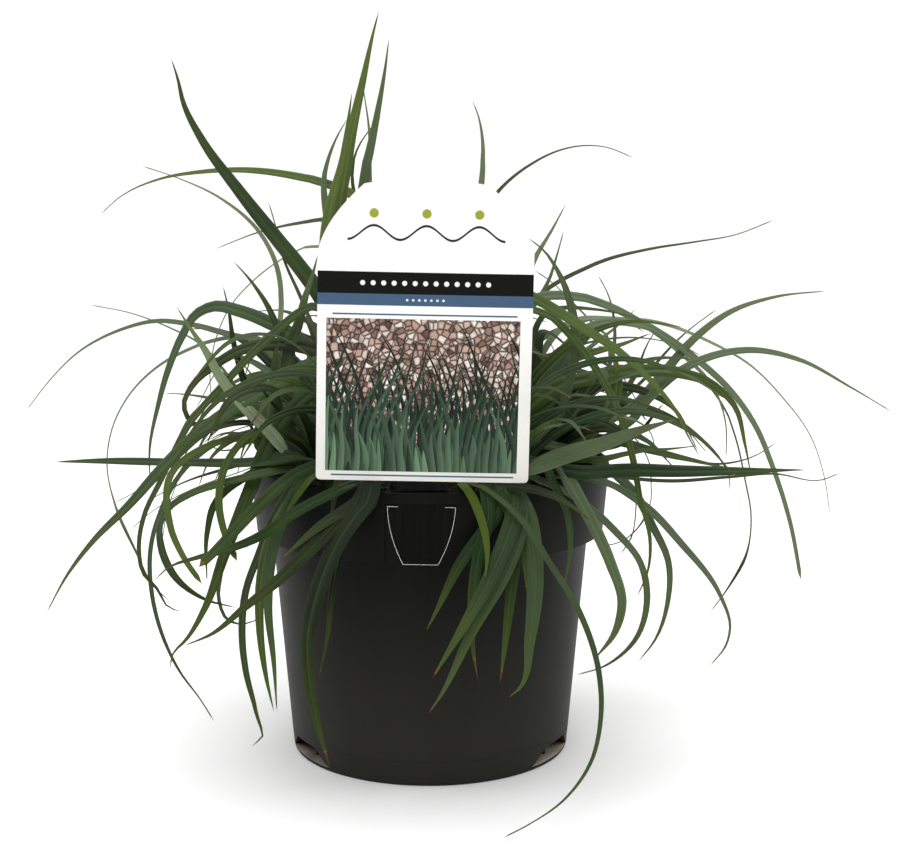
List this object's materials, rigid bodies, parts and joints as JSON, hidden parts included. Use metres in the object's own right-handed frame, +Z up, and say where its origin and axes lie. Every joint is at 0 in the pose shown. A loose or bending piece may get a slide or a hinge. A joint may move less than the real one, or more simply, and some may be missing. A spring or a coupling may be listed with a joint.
{
  "type": "potted sedge",
  "caption": "Clump-forming sedge with arching, pointed strap leaves in a round moulded nursery pot with a deep rim band and a card label hooked on the rim.",
  "frame": {"origin": "centre of the pot's base, on the surface that the pot stands on", "axes": "+Z up along the pot's axis; -Y to the front, where the label hooks on the rim; +X to the right as seen from the front"},
  "size_m": [0.5037, 0.4297, 0.4088],
  "materials": {
    "pot": "satin",
    "soil": "matte",
    "label": "satin",
    "leaf": "satin"
  },
  "bodies": {
    "root": {"pot": "pot", "soil": "soil", "label": "label", "tiller_01": "leaf", "tiller_02": "leaf", "tiller_03": "leaf", "tiller_04": "leaf", "tiller_05": "leaf", "tiller_06": "leaf", "tiller_07": "leaf", "tiller_08": "leaf", "tiller_09": "leaf", "tiller_10": "leaf", "tiller_11": "leaf", "tiller_12": "leaf", "tiller_13": "leaf", "tiller_14": "leaf", "tiller_15": "leaf", "tiller_16": "leaf", "tiller_17": "leaf", "tiller_18": "leaf"}
  },
  "joints": []
}
